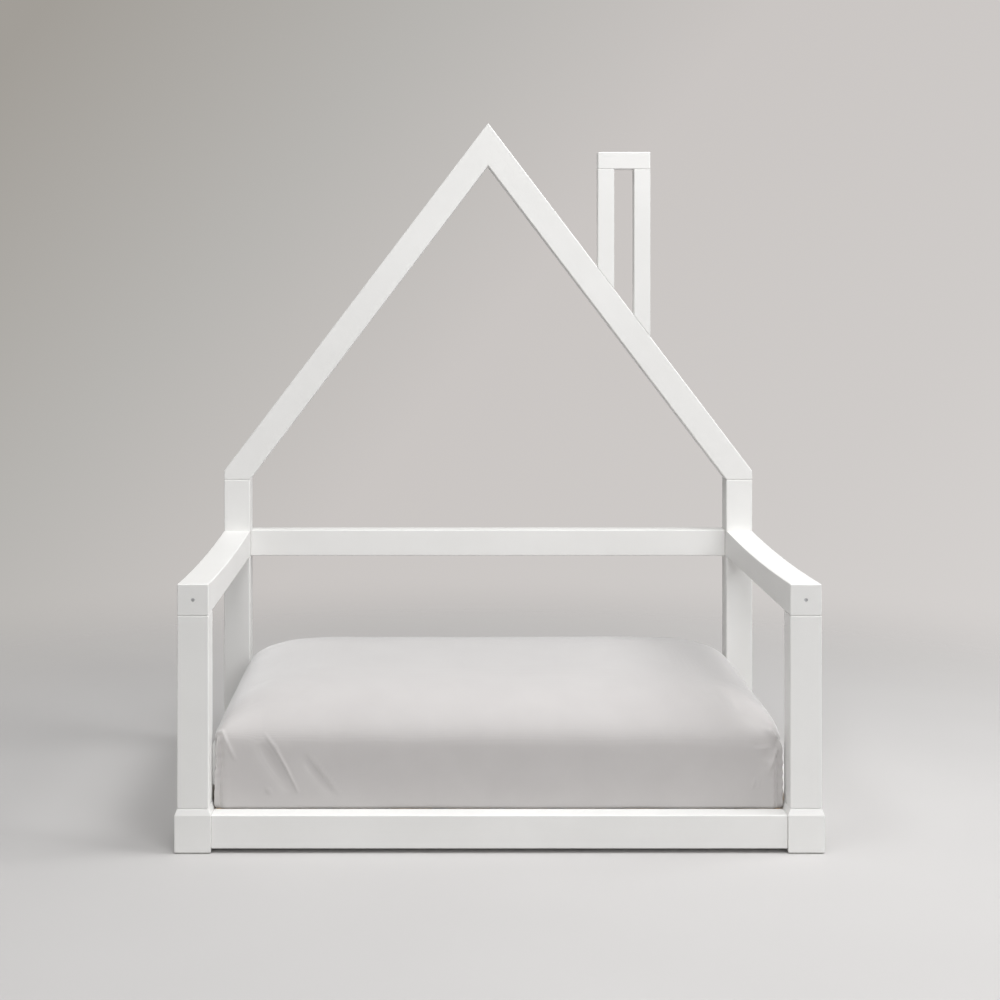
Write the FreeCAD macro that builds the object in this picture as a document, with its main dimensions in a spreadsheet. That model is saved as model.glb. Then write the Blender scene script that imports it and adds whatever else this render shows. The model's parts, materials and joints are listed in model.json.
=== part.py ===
import FreeCAD, Part
import math
import os
import re
import Sketcher

# A child's house-shaped bed: four posts on bevelled feet, a box base with a slatted deck, square arms,
# a guard rail, and a gabled outline with a small chimney over the back posts.
#
# Frame: +X to the right, +Y to the back, +Z up, millimetres. The origin is on the floor, midway between
# the posts in both directions.

# Driving dimensions, in millimetres unless the name says otherwise.
SIZES = {
    # mattress and its fitted sheet
    "mattress_length": 965,
    "mattress_width": 610,
    "mattress_side_height": 76,
    "mattress_dome": 122,
    "mattress_bottom_round": 6,
    "mattress_corner_round": 26,
    "mattress_side_draw": 2,
    "mattress_end_gap": 5,
    "mattress_front_gap": 3,
    "mattress_back_gap": 3,
    "sheet_thickness": 1,
    "sheet_hem_width": 80,
    # square timber of the posts, arms and rafters
    "timber_side": 53,
    "edge_round": 2,
    "front_post_length": 323.4,
    "back_post_length": 481.4,
    "arm_scoop": 6,
    # feet and their pads
    "pad_thickness": 2,
    "pad_inset": 3,
    "foot_height": 72.6,
    "foot_margin": 4,
    "foot_bevel_height": 11,
    # base rails and deck
    "rail_thickness": 38,
    "rail_height": 56,
    "rail_lift": 5.5,
    "deck_drop": 1.5,
    "ledger_height": 25,
    "ledger_depth": 28,
    "ledger_end_gap": 1,
    "slat_count": 10,
    "slat_width": 70,
    "slat_thickness": 18,
    "slat_end_gap": 7,
    "slat_side_gap": 3.5,
    "slat_round": 1.5,
    # roof and chimney
    "roof_pitch_degrees": 52.8,
    "chimney_side": 33,
    "chimney_gap": 41,
    "chimney_offset": 225,
    "chimney_rise": 202,
    "cap_height": 35,
    # dowels
    "hole_gap": 0.1,
    "dowel_diameter": 8,
    "dowel_length": 40,
    "rail_dowel_edge": 10,
    "rail_dowel_spacing": 20,
    "rafter_dowel_spread": 14,
    "ridge_dowel_spread": 14,
    "ridge_dowel_rise": 24,
    "upper_joint_offset": 12,
    # cam fittings of the base rails
    "cam_bolt_diameter": 6,
    "cam_bolt_rise": 10,
    "cam_bolt_grip": 14,
    "cam_diameter": 15,
    "cam_height": 14,
    "cam_setback": 34,
    # bolt from each foot into its post
    "post_bolt_diameter": 8,
    "post_bolt_head_diameter": 15,
    "post_bolt_head_height": 5,
    "post_bolt_recess": 8,
    "post_bolt_reach": 30,
    "post_insert_diameter": 13,
    "post_insert_length": 25,
    # bolts from the back posts into the arms and the guard rail
    "frame_bolt_diameter": 6,
    "frame_bolt_head_diameter": 12,
    "frame_bolt_head_height": 3.5,
    "frame_bolt_reach": 24,
    "frame_insert_diameter": 10,
    "frame_insert_length": 20,
    # pin and grub screw in the front end of each arm
    "arm_pin_diameter": 10,
    "arm_pin_length": 60,
    "grub_screw_diameter": 6,
    "grub_screw_sink": 1,
    # stud and barrel nut at the foot of each rafter
    "stud_reach_down": 40,
    "stud_reach_up": 32,
    "barrel_nut_rise": 22,
    "barrel_nut_diameter": 12,
    "barrel_nut_length": 16,
    # wood screws
    "ledger_screw_diameter": 4,
    "ledger_screw_length": 50,
    "slat_screw_diameter": 3.5,
    "slat_screw_length": 35,
    "screw_head_ratio": 2,
    "screw_head_height": 2.5,
}

LEFT, RIGHT = -1, 1
FRONT, BACK = -1, 1
SIDE_NAMES = {LEFT: "left", RIGHT: "right"}
END_NAMES = {FRONT: "front", BACK: "back"}

# Places in the frame, as expressions of the sizes.
INNER_X = "(mattress_length / 2 + mattress_end_gap)"
OUTER_X = f"({INNER_X} + timber_side)"
POST_X = f"({INNER_X} + timber_side / 2)"
HALF_DEPTH = "((mattress_width + mattress_front_gap + mattress_back_gap) / 2 + rail_thickness)"
POST_Y = f"({HALF_DEPTH} - timber_side / 2)"
RAIL_MIDDLE_X = f"({OUTER_X} - rail_thickness / 2)"
RAIL_MIDDLE_Y = f"({HALF_DEPTH} - rail_thickness / 2)"
FOOT_SIDE = "(timber_side + 2 * foot_margin)"
FOOT_INNER_X = f"({INNER_X} - foot_margin)"
FOOT_INNER_Y = f"({HALF_DEPTH} - timber_side - foot_margin)"
FOOT_TOP = "(pad_thickness + foot_height)"
RAIL_LOW = "(pad_thickness + rail_lift)"
DECK_TOP = f"({RAIL_LOW} + rail_height - deck_drop)"
LEDGER_TOP = f"({DECK_TOP} - slat_thickness)"
ARM_LOW = f"({FOOT_TOP} + front_post_length)"
ARM_LENGTH = f"(2 * {HALF_DEPTH} - timber_side)"
EAVES = f"({FOOT_TOP} + back_post_length)"
SLOPE = "tan(roof_pitch_degrees)"
RIDGE_INNER = f"({EAVES} + {INNER_X} * {SLOPE})"
RIDGE_OUTER = f"({RIDGE_INNER} + timber_side / cos(roof_pitch_degrees))"
CAP_LOW = f"({RIDGE_OUTER} - chimney_offset * {SLOPE} + chimney_rise)"
CHIMNEY_WIDTH = "(2 * chimney_side + chimney_gap)"

ORIGIN_PLANES = {"X": "YZ_Plane", "Y": "XZ_Plane", "Z": "XY_Plane"}
TURNS = {
    "+X": FreeCAD.Rotation(FreeCAD.Vector(0, 1, 0), 90),
    "-X": FreeCAD.Rotation(FreeCAD.Vector(0, 1, 0), -90),
    "+Y": FreeCAD.Rotation(FreeCAD.Vector(1, 0, 0), -90),
    "-Y": FreeCAD.Rotation(FreeCAD.Vector(1, 0, 0), 90),
    "+Z": FreeCAD.Rotation(),
    "-Z": FreeCAD.Rotation(FreeCAD.Vector(1, 0, 0), 180),
}

doc = FreeCAD.newDocument("house_frame_bed")
nodes = []
origins = {}


# ---------------------------------------------------------------- the sheet and the links to it


def make_sheet():
    """The sheet of driving dimensions: a name and a number on each row."""
    sheet = doc.addObject("Spreadsheet::Sheet", "Sizes")
    for row, (name, number) in enumerate(SIZES.items(), start=1):
        sheet.set(f"A{row}", name)
        sheet.set(f"B{row}", str(number))
        sheet.setAlias(f"B{row}", name)
    doc.recompute()
    return sheet


def value(expression):
    """The number that an expression of the sizes stands for."""
    return float(sheet.evalExpression(expression))


def bind(thing, links):
    """Tie properties of an object to expressions of the sizes."""
    for name, expression in links.items():
        linked = re.sub(r"\b[a-z]+(?:_[a-z]+)+\b", lambda word: "Sizes." + word.group(), expression)
        thing.setExpression(name, linked)


def place(thing, point, turn=TURNS["+Z"]):
    """Put an object at a point given by three expressions."""
    thing.Placement = FreeCAD.Placement(FreeCAD.Vector(), turn)
    bind(thing, {f"Placement.Base.{axis}": place_on for axis, place_on in zip("xyz", point)})


def shifted(point, axis, distance):
    """A point moved by a distance along a signed axis such as "-Y"."""
    moved = list(point)
    index = "XYZ".index(axis[1])
    moved[index] = f"({moved[index]}) {axis[0]} ({distance})"
    return tuple(moved)


def node(thing, name):
    """Name an object as one of the bed's sub-parts."""
    thing.Label = name
    nodes.append(thing)
    return thing


# ---------------------------------------------------------------- timber


def make_body(name, origin):
    """An empty body whose own origin is at a point of the frame."""
    body = node(doc.addObject("PartDesign::Body", name), name)
    place(body, origin)
    origins[name] = origin
    return body


def make_sketch(body, name, plane, points, arc_from=None, arc_radius=None, lift=None):
    """A closed outline on one of the body's origin planes, with every corner bound to the sizes.

    The stretch that starts at corner arc_from is a hollow arc of arc_radius, and the rest are straight.
    """
    sketch = body.newObject("Sketcher::SketchObject", name)
    support = next(item for item in body.Origin.OriginFeatures if item.Role == plane)
    sketch.AttachmentSupport = [(support, "")]
    sketch.MapMode = "FlatFace"
    if lift:
        bind(sketch, {"AttachmentOffset.Base.z": lift})
    corners = [FreeCAD.Vector(value(across), value(up), 0) for across, up in points]
    for index, start in enumerate(corners):
        end = corners[(index + 1) % len(corners)]
        if index == arc_from:
            chord = end - start
            radius = value(arc_radius)
            sag = radius - math.sqrt(radius ** 2 - chord.Length ** 2 / 4)
            middle = (start + end) / 2 + FreeCAD.Vector(0, -sag, 0)
            sketch.addGeometry(Part.Arc(start, middle, end))
        else:
            sketch.addGeometry(Part.LineSegment(start, end))
    # an arc runs anticlockwise, so a hollow one that is drawn from left to right starts at its first end
    for index in range(len(points)):
        following = (index + 1) % len(points)
        sketch.addConstraint(Sketcher.Constraint("Coincident", index, 2, following, 1))
    for index, (across, up) in enumerate(points):
        for kind, coordinate, expression in (
            ("DistanceX", corners[index].x, across),
            ("DistanceY", corners[index].y, up),
        ):
            number = sketch.addConstraint(Sketcher.Constraint(kind, -1, 1, index, 1, coordinate))
            bind(sketch, {f"Constraints[{number}]": expression})
    if arc_from is not None:
        number = sketch.addConstraint(Sketcher.Constraint("Radius", arc_from, value(arc_radius)))
        bind(sketch, {f"Constraints[{number}]": arc_radius})
    return sketch


def rectangle(wide, tall):
    """The corners of a rectangle from the plane's origin."""
    return [("0", "0"), (wide, "0"), (wide, tall), ("0", tall)]


def pad(body, sketch, length, axis):
    """Pad a sketch towards the positive side of an axis."""
    solid = body.newObject("PartDesign::Pad", "solid")
    solid.Profile = sketch
    bind(solid, {"Length": length})
    # the XZ plane faces -Y, so a pad towards +Y is reversed
    solid.Reversed = axis == "Y"
    doc.recompute()
    return solid


def ease(body, radius, keep_sharp=None):
    """Round the edges of a body, apart from those that keep_sharp picks out."""
    base = body.Tip
    edges = [
        f"Edge{number}"
        for number, edge in enumerate(base.Shape.Edges, start=1)
        if not (keep_sharp and keep_sharp(edge))
    ]
    rounding = body.newObject("PartDesign::Fillet", "rounding")
    rounding.Base = (base, edges)
    bind(rounding, {"Radius": radius})
    doc.recompute()


def timber(name, axis, size, low, rounding="edge_round"):
    """A squared length of timber with eased edges: its size and lowest corner as expressions."""
    body = make_body(name, low)
    across, up = [size[index] for index in range(3) if "XYZ"[index] != axis]
    sketch = make_sketch(body, "section", ORIGIN_PLANES[axis], rectangle(across, up))
    pad(body, sketch, size["XYZ".index(axis)], axis)
    ease(body, rounding)
    return body


def drill(bodies, axis, start, radius, length):
    """One round hole through several bodies, from a point of the frame along a signed axis."""
    for body in bodies:
        hole = body.newObject("PartDesign::SubtractiveCylinder", "hole")
        bind(hole, {"Radius": radius, "Height": length})
        local = [f"({here}) - ({zero})" for here, zero in zip(start, origins[body.Label])]
        place(hole, local, TURNS[axis])


# ---------------------------------------------------------------- turned pieces


def rod(axis, start, radius, length):
    """A plain cylinder from a point of the frame along a signed axis."""
    piece = doc.addObject("Part::Cylinder", "rod")
    bind(piece, {"Radius": radius, "Height": length})
    place(piece, start, TURNS[axis])
    return piece


def bolt(axis, start, head_radius, head_height, radius, length):
    """A headed bolt: start is the outer face of its head, and length is measured under the head."""
    piece = doc.addObject("Part::Fuse", "bolt")
    piece.Base = rod(axis, start, head_radius, head_height)
    piece.Tool = rod(axis, shifted(start, axis, head_height), radius, length)
    return piece


def tube(axis, start, radius, length, bore_radius):
    """A sleeve with a hole all the way through."""
    piece = doc.addObject("Part::Cut", "tube")
    piece.Base = rod(axis, start, radius, length)
    piece.Tool = rod(axis, start, bore_radius, length)
    return piece


def group(name, pieces):
    """Identical fasteners as one sub-part of separate solids."""
    compound = doc.addObject("Part::Compound", name)
    compound.Links = pieces
    return node(compound, name)


def dowel(axis, centre, bodies):
    """A dowel centred on the joint of two bodies, in a hole that is longer by a small gap each way."""
    start = shifted(centre, axis, "-dowel_length / 2")
    drill(bodies, axis, shifted(start, axis, "-hole_gap"), "dowel_diameter / 2 + hole_gap",
          "dowel_length + 2 * hole_gap")
    return rod(axis, start, "dowel_diameter / 2", "dowel_length")


# ---------------------------------------------------------------- base


def make_pad(side, end):
    """The felt pad under a foot."""
    name = f"{END_NAMES[end]}_{SIDE_NAMES[side]}_pad"
    felt = node(doc.addObject("Part::Box", name), name)
    pad_side = f"({FOOT_SIDE} - 2 * pad_inset)"
    bind(felt, {"Length": pad_side, "Width": pad_side, "Height": "pad_thickness"})
    place(felt, (f"{side} * {POST_X} - {pad_side} / 2", f"{end} * {POST_Y} - {pad_side} / 2", "0"))


def make_foot(side, end):
    """A foot block: wider than the post, and bevelled in to the post's size at its top."""
    corner = (f"{side} * {POST_X} - {FOOT_SIDE} / 2", f"{end} * {POST_Y} - {FOOT_SIDE} / 2", "pad_thickness")
    foot = make_body(f"{END_NAMES[end]}_{SIDE_NAMES[side]}_foot", corner)
    block_height = "(foot_height - foot_bevel_height)"
    block = make_sketch(foot, "block", "XY_Plane", rectangle(FOOT_SIDE, FOOT_SIDE))
    pad(foot, block, block_height, "Z")
    wide = make_sketch(foot, "bevel_foot", "XY_Plane", rectangle(FOOT_SIDE, FOOT_SIDE), lift=block_height)
    inner, outer = "foot_margin", f"({FOOT_SIDE} - foot_margin)"
    corners = [(inner, inner), (outer, inner), (outer, outer), (inner, outer)]
    narrow = make_sketch(foot, "bevel_top", "XY_Plane", corners, lift="foot_height")
    bevel = foot.newObject("PartDesign::AdditiveLoft", "bevel")
    bevel.Profile = wide
    bevel.Sections = [narrow]
    doc.recompute()
    ease(foot, "edge_round / 2")
    return foot


def make_base_rails():
    """The four rails of the base frame, between the feet and flush with the posts' outer faces."""
    rails = {}
    for end in (FRONT, BACK):
        size = (f"2 * {FOOT_INNER_X}", "rail_thickness", "rail_height")
        low = (f"-{FOOT_INNER_X}", f"{end} * {RAIL_MIDDLE_Y} - rail_thickness / 2", RAIL_LOW)
        rails[END_NAMES[end]] = timber(f"{END_NAMES[end]}_base_rail", "X", size, low)
    for side in (LEFT, RIGHT):
        size = ("rail_thickness", f"2 * {FOOT_INNER_Y}", "rail_height")
        low = (f"{side} * {RAIL_MIDDLE_X} - rail_thickness / 2", f"-{FOOT_INNER_Y}", RAIL_LOW)
        rails[SIDE_NAMES[side]] = timber(f"{SIDE_NAMES[side]}_base_rail", "Y", size, low)
    return rails


def join_rail(rail, foot, axis, face):
    """Two dowels and one cam fitting between a rail's end and a foot.

    face is the middle of the rail's underside at the joint, and axis points from the rail into the foot.
    """
    back_axis = {"+": "-", "-": "+"}[axis[0]] + axis[1]
    upper = shifted(face, "+Z", "rail_height - rail_dowel_edge")
    lower = shifted(upper, "-Z", "rail_dowel_spacing")
    dowels = [dowel(axis, centre, [rail, foot]) for centre in (upper, lower)]

    tip = shifted(shifted(face, "+Z", "cam_bolt_rise"), axis, "cam_bolt_grip")
    bolt_length = "(cam_bolt_grip + cam_setback)"
    drill([rail, foot], back_axis, tip, "cam_bolt_diameter / 2 + hole_gap", bolt_length)
    cam_bolt = rod(back_axis, tip, "cam_bolt_diameter / 2", f"{bolt_length} - hole_gap")

    cam_low = shifted(face, back_axis, "cam_setback")
    drill([rail], "+Z", cam_low, "cam_diameter / 2 + hole_gap", "cam_height + hole_gap")
    cam = doc.addObject("Part::Cut", "cam")
    cam.Base = rod("+Z", cam_low, "cam_diameter / 2", "cam_height")
    cam.Tool = rod(back_axis, tip, "cam_bolt_diameter / 2 + hole_gap", bolt_length)
    return dowels, cam_bolt, cam


def join_base(rails, feet):
    """All eight joints between the base rails and the feet."""
    dowels, cam_bolts, cams = [], [], []
    for (side, end), foot in feet.items():
        along_x = "+X" if side == RIGHT else "-X"
        along_y = "+Y" if end == BACK else "-Y"
        joints = (
            (rails[END_NAMES[end]], along_x, (f"{side} * {FOOT_INNER_X}", f"{end} * {RAIL_MIDDLE_Y}", RAIL_LOW)),
            (rails[SIDE_NAMES[side]], along_y, (f"{side} * {RAIL_MIDDLE_X}", f"{end} * {FOOT_INNER_Y}", RAIL_LOW)),
        )
        for rail, axis, face in joints:
            joint_dowels, cam_bolt, cam = join_rail(rail, foot, axis, face)
            dowels += joint_dowels
            cam_bolts.append(cam_bolt)
            cams.append(cam)
    group("base_rail_dowels", dowels)
    group("base_cam_bolts", cam_bolts)
    group("base_cam_discs", cams)


def make_deck(rails):
    """Two ledgers on the long rails, and the slats that lie across them."""
    ledgers = {}
    half_length = f"({FOOT_INNER_X} - ledger_end_gap)"
    inner_y = f"({HALF_DEPTH} - rail_thickness)"
    for end in (FRONT, BACK):
        size = (f"2 * {half_length}", "ledger_depth", "ledger_height")
        middle = f"{end} * ({inner_y} - ledger_depth / 2)"
        low = (f"-{half_length}", f"{middle} - ledger_depth / 2", f"{LEDGER_TOP} - ledger_height")
        ledgers[end] = timber(f"{END_NAMES[end]}_ledger", "X", size, low, "slat_round")

    slat_total = int(value("slat_count"))
    first = f"(slat_side_gap + slat_width / 2 - {FOOT_INNER_X})"
    pitch = f"(-2 * {first} / (slat_count - 1))"
    half_slat = f"({inner_y} - slat_end_gap)"
    slat_screws, ledger_screws = [], []
    for index in range(slat_total):
        middle = f"({first} + {index} * {pitch})"
        size = ("slat_width", f"2 * {half_slat}", "slat_thickness")
        slat = timber(f"slat_{index + 1:02d}", "Y", size,
                      (f"{middle} - slat_width / 2", f"-{half_slat}", LEDGER_TOP), "slat_round")
        for end in (FRONT, BACK):
            top = (middle, f"{end} * ({inner_y} - ledger_depth / 2)", DECK_TOP)
            slat_screws.append(screw([slat, ledgers[end]], "-Z", top, "slat_screw_diameter", "slat_screw_length"))
    # the ledgers are screwed on at every second gap, clear of the slats' own screws
    for index in range(0, slat_total - 1, 2):
        for end in (FRONT, BACK):
            outward = "+Y" if end == BACK else "-Y"
            face = (f"{first} + {index + 0.5} * {pitch}", f"{end} * ({inner_y} - ledger_depth)",
                    f"{LEDGER_TOP} - ledger_height / 2")
            bodies = [ledgers[end], rails[END_NAMES[end]]]
            ledger_screws.append(screw(bodies, outward, face, "ledger_screw_diameter", "ledger_screw_length"))
    group("slat_screws", slat_screws)
    group("ledger_screws", ledger_screws)


def screw(bodies, axis, face, diameter, length):
    """A wood screw with its head sunk flush in the first body's face."""
    drill(bodies[:1], axis, face, f"{diameter} * screw_head_ratio / 2 + hole_gap", "screw_head_height")
    drill(bodies, axis, face, f"{diameter} / 2 + hole_gap", f"{length} + hole_gap")
    return bolt(axis, face, f"{diameter} * screw_head_ratio / 2", "screw_head_height", f"{diameter} / 2",
                f"{length} - screw_head_height")


# ---------------------------------------------------------------- posts, arms and guard rail


def make_post(side, end):
    """A square post standing on its foot."""
    length = "front_post_length" if end == FRONT else "back_post_length"
    low = (f"{side} * {POST_X} - timber_side / 2", f"{end} * {POST_Y} - timber_side / 2", FOOT_TOP)
    name = f"{END_NAMES[end]}_{SIDE_NAMES[side]}_post"
    return timber(name, "Z", ("timber_side", "timber_side", length), low)


def join_posts(posts, feet):
    """A bolt up through each foot into a threaded insert in its post."""
    bolts, inserts = [], []
    for (side, end), post in posts.items():
        centre_x, centre_y = f"{side} * {POST_X}", f"{end} * {POST_Y}"
        foot_low = (centre_x, centre_y, "pad_thickness")
        head_low = shifted(foot_low, "+Z", "post_bolt_recess - post_bolt_head_height")
        post_low = (centre_x, centre_y, FOOT_TOP)
        under_head = "(foot_height - post_bolt_recess + post_bolt_reach)"
        drill([feet[side, end]], "+Z", foot_low, "post_bolt_head_diameter / 2 + hole_gap", "post_bolt_recess")
        drill([feet[side, end], post], "+Z", foot_low, "post_bolt_diameter / 2 + hole_gap",
              "foot_height + post_bolt_reach + hole_gap")
        drill([post], "+Z", post_low, "post_insert_diameter / 2 + hole_gap", "post_insert_length + hole_gap")
        bolts.append(bolt("+Z", head_low, "post_bolt_head_diameter / 2", "post_bolt_head_height",
                          "post_bolt_diameter / 2", under_head))
        inserts.append(tube("+Z", post_low, "post_insert_diameter / 2", "post_insert_length",
                            "post_bolt_diameter / 2 + hole_gap"))
    group("post_bolts", bolts)
    group("post_inserts", inserts)


def make_arm(side):
    """An arm from the front post's top to the back post, with a shallow scoop along its top."""
    low = (f"{side} * {POST_X} - timber_side / 2", f"-{HALF_DEPTH}", ARM_LOW)
    arm = make_body(f"{SIDE_NAMES[side]}_arm", low)
    scoop_radius = f"(({ARM_LENGTH} ^ 2 / 4 + arm_scoop ^ 2) / (2 * arm_scoop))"
    corners = [("0", "timber_side"), (ARM_LENGTH, "timber_side"), (ARM_LENGTH, "0"), ("0", "0")]
    profile = make_sketch(arm, "profile", "YZ_Plane", corners, arc_from=0, arc_radius=scoop_radius)
    pad(arm, profile, "timber_side", "X")
    ease(arm, "edge_round")
    return arm


def make_guard_rail():
    """The rail between the back posts, level with the arms and flush with the posts' back faces."""
    size = (f"2 * {INNER_X}", "rail_thickness", "timber_side")
    low = (f"-{INNER_X}", f"{RAIL_MIDDLE_Y} - rail_thickness / 2", ARM_LOW)
    return timber("back_guard_rail", "X", size, low)


def pin_arms(arms, posts):
    """A steel pin from each front post's top into the arm, held by a grub screw in the arm's end."""
    pins, grub_screws = [], []
    for side, arm in arms.items():
        centre = (f"{side} * {POST_X}", f"-{POST_Y}", ARM_LOW)
        pin_low = shifted(centre, "-Z", "arm_pin_length / 2")
        drill([arm, posts[side, FRONT]], "+Z", shifted(pin_low, "-Z", "hole_gap"),
              "arm_pin_diameter / 2 + hole_gap", "arm_pin_length + 2 * hole_gap")
        pins.append(rod("+Z", pin_low, "arm_pin_diameter / 2", "arm_pin_length"))
        face = (f"{side} * {POST_X}", f"-{HALF_DEPTH}", f"{ARM_LOW} + timber_side / 2")
        to_pin = "(timber_side / 2 - arm_pin_diameter / 2)"
        drill([arm], "+Y", face, "grub_screw_diameter / 2 + hole_gap", to_pin)
        grub_screws.append(rod("+Y", shifted(face, "+Y", "grub_screw_sink"), "grub_screw_diameter / 2",
                               f"{to_pin} - grub_screw_sink"))
    group("arm_pins", pins)
    group("arm_grub_screws", grub_screws)


def join_to_back_post(post, piece, axis, outer, joint):
    """A bolt through a back post into an insert in the end of a piece, and a dowel beside it.

    outer is the bolt's place on the post's far face, joint the dowel's place on the piece's end, and
    axis points from the post into the piece.
    """
    under_head = "(timber_side - frame_bolt_head_height + frame_bolt_reach)"
    drill([post], axis, outer, "frame_bolt_head_diameter / 2 + hole_gap", "frame_bolt_head_height")
    drill([post, piece], axis, outer, "frame_bolt_diameter / 2 + hole_gap",
          "timber_side + frame_bolt_reach + hole_gap")
    piece_end = shifted(outer, axis, "timber_side")
    drill([piece], axis, piece_end, "frame_insert_diameter / 2 + hole_gap", "frame_insert_length + hole_gap")
    screw_in = bolt(axis, outer, "frame_bolt_head_diameter / 2", "frame_bolt_head_height",
                    "frame_bolt_diameter / 2", under_head)
    insert = tube(axis, piece_end, "frame_insert_diameter / 2", "frame_insert_length",
                  "frame_bolt_diameter / 2 + hole_gap")
    return screw_in, insert, dowel(axis, joint, [post, piece])


def join_upper_frame(arms, guard_rail, posts):
    """The arms and the guard rail to the back posts, at two heights so that the bolts cross clear."""
    low_line = f"({ARM_LOW} + timber_side / 2 - upper_joint_offset)"
    high_line = f"({ARM_LOW} + timber_side / 2 + upper_joint_offset)"
    joints = []
    for side, arm in arms.items():
        post = posts[side, BACK]
        post_x = f"{side} * {POST_X}"
        arm_end = f"({HALF_DEPTH} - timber_side)"
        joints.append(join_to_back_post(post, arm, "-Y", (post_x, HALF_DEPTH, low_line),
                                        (post_x, arm_end, high_line)))
        inward = "-X" if side == RIGHT else "+X"
        joints.append(join_to_back_post(post, guard_rail, inward, (f"{side} * {OUTER_X}", RAIL_MIDDLE_Y, high_line),
                                        (f"{side} * {INNER_X}", RAIL_MIDDLE_Y, low_line)))
    bolts, inserts, dowels = zip(*joints)
    group("frame_bolts", list(bolts))
    group("frame_inserts", list(inserts))
    group("frame_dowels", list(dowels))


# ---------------------------------------------------------------- roof and chimney

# How near to the middle plane the ends of an edge of the mitre lie.
MITRE_TOLERANCE = 0.01


def make_rafter(side):
    """A rafter: level foot on the post, trimmed flush with the post's outer face, mitred at the ridge."""
    rafter = make_body(f"{SIDE_NAMES[side]}_rafter", ("0", f"{HALF_DEPTH} - timber_side", EAVES))
    trim_height = f"({RIDGE_OUTER} - {EAVES} - {OUTER_X} * {SLOPE})"
    corners = [
        (f"{side} * {INNER_X}", "0"),
        (f"{side} * {OUTER_X}", "0"),
        (f"{side} * {OUTER_X}", trim_height),
        ("0", f"{RIDGE_OUTER} - {EAVES}"),
        ("0", f"{RIDGE_INNER} - {EAVES}"),
    ]
    pad(rafter, make_sketch(rafter, "profile", "XZ_Plane", corners), "timber_side", "Y")

    def on_mitre(edge):
        return all(abs(vertex.X) < MITRE_TOLERANCE for vertex in edge.Vertexes)

    ease(rafter, "edge_round", on_mitre)
    return rafter


def join_roof(rafters, posts):
    """A stud with a barrel nut and two dowels at each rafter's foot, and two dowels in the mitre."""
    studs, nuts, foot_dowels = [], [], []
    for side, rafter in rafters.items():
        post = posts[side, BACK]
        centre = (f"{side} * {POST_X}", POST_Y, EAVES)
        stud_low = shifted(centre, "-Z", "stud_reach_down")
        stud_length = "(stud_reach_down + stud_reach_up)"
        drill([post, rafter], "+Z", shifted(stud_low, "-Z", "hole_gap"), "frame_bolt_diameter / 2 + hole_gap",
              f"{stud_length} + 2 * hole_gap")
        studs.append(rod("+Z", stud_low, "frame_bolt_diameter / 2", stud_length))

        nut_middle = shifted(centre, "+Z", "barrel_nut_rise")
        nut_back = shifted(nut_middle, "+Y", "barrel_nut_length / 2")
        rear_face = shifted(nut_middle, "+Y", "timber_side / 2")
        drill([rafter], "-Y", rear_face, "barrel_nut_diameter / 2 + hole_gap",
              "timber_side / 2 + barrel_nut_length / 2 + hole_gap")
        nut = doc.addObject("Part::Cut", "barrel_nut")
        nut.Base = rod("-Y", nut_back, "barrel_nut_diameter / 2", "barrel_nut_length")
        nut.Tool = rod("+Z", stud_low, "frame_bolt_diameter / 2 + hole_gap", stud_length)
        nuts.append(nut)
        for spread in ("-rafter_dowel_spread", "rafter_dowel_spread"):
            foot_dowels.append(dowel("+Z", shifted(centre, "+X", spread), [post, rafter]))
    group("rafter_studs", studs)
    group("rafter_barrel_nuts", nuts)
    group("rafter_dowels", foot_dowels)

    mitre_low = ("0", POST_Y, f"{RIDGE_INNER} + ridge_dowel_rise")
    group("ridge_dowels", [
        dowel("+X", shifted(mitre_low, "+Y", spread), list(rafters.values()))
        for spread in ("-ridge_dowel_spread", "ridge_dowel_spread")
    ])


def make_chimney(rafter):
    """Two small posts cut to the slope of the right rafter, with a level cap on them."""
    post_y = f"({HALF_DEPTH} - timber_side)"
    middle_y = f"({post_y} + chimney_side / 2)"
    cap = timber("chimney_cap", "X", (CHIMNEY_WIDTH, "chimney_side", "cap_height"),
                 ("chimney_offset", post_y, CAP_LOW))
    dowels = []
    offsets = {"inner": "chimney_offset", "outer": "(chimney_offset + chimney_side + chimney_gap)"}
    for place_name, offset in offsets.items():
        post = make_body(f"chimney_{place_name}_post", (offset, post_y, CAP_LOW))
        inner_drop = f"({RIDGE_OUTER} - {offset} * {SLOPE} - {CAP_LOW})"
        outer_drop = f"({inner_drop} - chimney_side * {SLOPE})"
        corners = [("0", inner_drop), ("chimney_side", outer_drop), ("chimney_side", "0"), ("0", "0")]
        pad(post, make_sketch(post, "profile", "XZ_Plane", corners), "chimney_side", "Y")
        ease(post, "edge_round / 2")
        middle_x = f"({offset} + chimney_side / 2)"
        on_slope = (middle_x, middle_y, f"{RIDGE_OUTER} - {middle_x} * {SLOPE}")
        dowels.append(dowel("+Z", on_slope, [rafter, post]))
        dowels.append(dowel("+Z", (middle_x, middle_y, CAP_LOW), [post, cap]))
    group("chimney_dowels", dowels)


# ---------------------------------------------------------------- mattress

# The dome stands upright on the sides and is nearly flat in the middle: the higher the root, the squarer its
# shoulders. Its sections lie at these shares of the way out from the middle line, and their corners get
# rounder by this share of their inset.
DOME_POWER = 3
DOME_ROOT = 4
DOME_SHARES = (1, 0.998, 0.99, 0.97, 0.93, 0.86, 0.75, 0.6, 0.35)
CORNER_GROWTH = 0.25


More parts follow.
